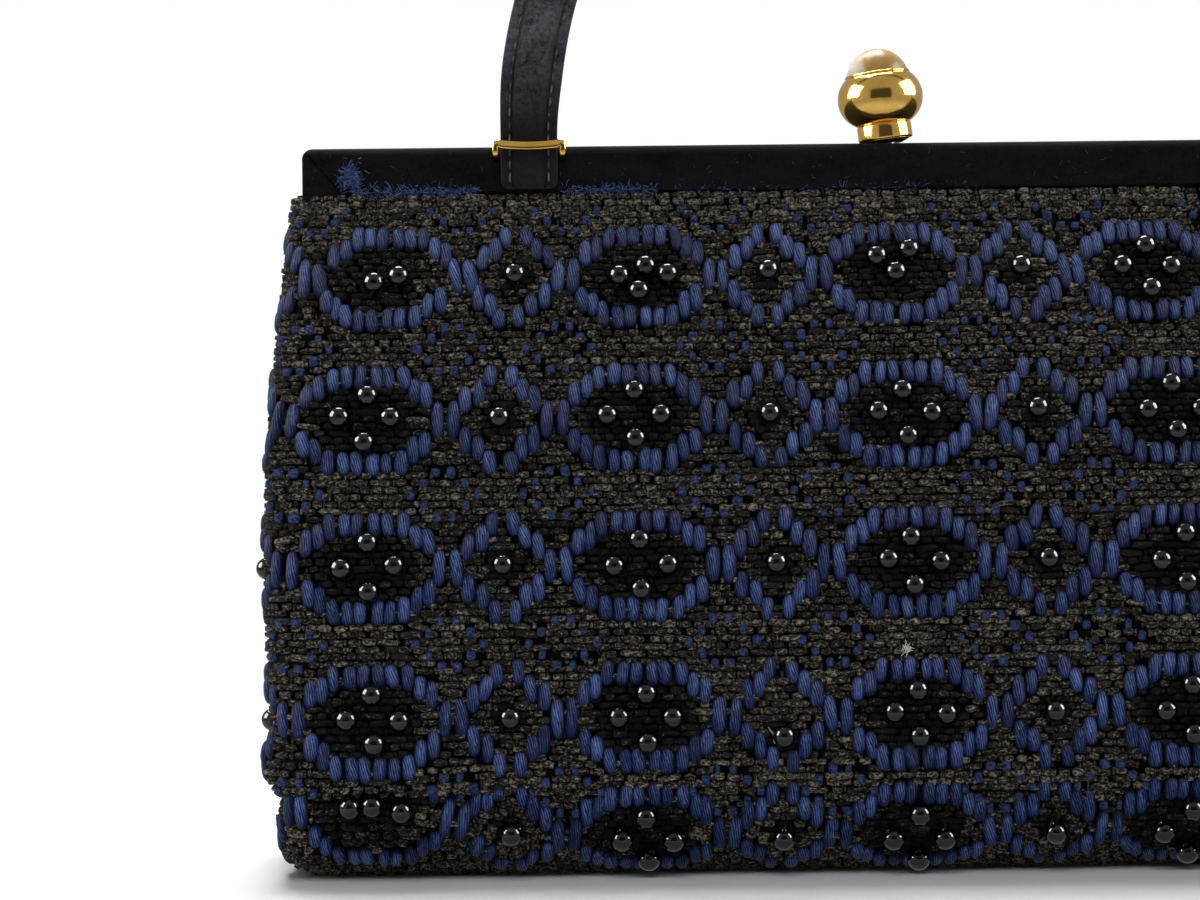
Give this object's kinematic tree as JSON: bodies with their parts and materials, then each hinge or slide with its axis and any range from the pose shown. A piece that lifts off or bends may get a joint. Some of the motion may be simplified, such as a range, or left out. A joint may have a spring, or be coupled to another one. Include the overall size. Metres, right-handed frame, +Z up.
{
  "type": "beaded handbag",
  "caption": "Framed handbag of dark woven cloth with blue yarn ovals and black beads, suede covered hinged frame, strap handle and pearl-topped gilt clasp.",
  "frame": {"origin": "centre of the bag's bounding box on the floor", "axes": "+X along the frame to the right, -Y towards the front with the handle, +Z up"},
  "size_m": [0.2708, 0.0802, 0.2495],
  "materials": {
    "woven_cloth": "matte plain weave",
    "blue_yarn": "soft sheen",
    "black_glass": "polished",
    "black_suede": "napped matte",
    "strap_suede": "napped matte",
    "frame_steel": "pressed sheet",
    "gilt": "polished",
    "pearl": "pearl lustre",
    "lining_cloth": "satin",
    "base_card": "pressed board"
  },
  "bodies": {
    "bag": {"front_cloth": "woven_cloth", "rear_cloth": "woven_cloth", "front_lining": "lining_cloth", "rear_lining": "lining_cloth", "base_board": "base_card", "front_floats": "blue_yarn", "rear_floats": "blue_yarn", "front_beads": "black_glass", "rear_beads": "black_glass", "left_hinge_pin": "frame_steel", "right_hinge_pin": "frame_steel"},
    "front_frame": {"front_frame_channel": "frame_steel", "front_frame_cover": "black_suede", "front_hem": "woven_cloth", "left_staple": "gilt", "right_staple": "gilt", "left_strap_end": "strap_suede", "right_strap_end": "strap_suede", "clasp_pivot_pin": "frame_steel", "clasp_spring": "frame_steel"},
    "rear_frame": {"rear_frame_channel": "frame_steel", "rear_frame_cover": "black_suede", "rear_hem": "woven_cloth", "clasp_keeper": "frame_steel"},
    "handle": {"handle_strap": "strap_suede"},
    "clasp": {"clasp_lever": "frame_steel", "clasp_collar": "gilt", "clasp_bulb": "gilt", "clasp_pearl": "pearl"}
  },
  "joints": [
    {"name": "front_frame_swing", "type": "hinge", "parent": "bag", "child": "front_frame", "pos_m": [0, 0, 0.103], "axis": [1, 0, 0], "range_deg": [0, 25], "deforming": ["front_cloth", "front_lining", "front_floats", "front_beads"]},
    {"name": "rear_frame_swing", "type": "hinge", "parent": "bag", "child": "rear_frame", "pos_m": [0, 0, 0.103], "axis": [-1, 0, 0], "range_deg": [0, 25], "deforming": ["rear_cloth", "rear_lining", "rear_floats", "rear_beads"]},
    {"name": "handle_swing", "type": "hinge", "parent": "front_frame", "child": "handle", "pos_m": [0, -0.01605, 0.1532], "axis": [1, 0, 0], "range_deg": [-10, 95]},
    {"name": "clasp_tilt", "type": "hinge", "parent": "front_frame", "child": "clasp", "pos_m": [0, -0.0062, 0.1482], "axis": [0, 1, 0], "range_deg": [0, 14], "stiffness_Nm_per_rad": 0.1, "springref_deg": -11.46, "deforming": ["clasp_spring"]}
  ]
}
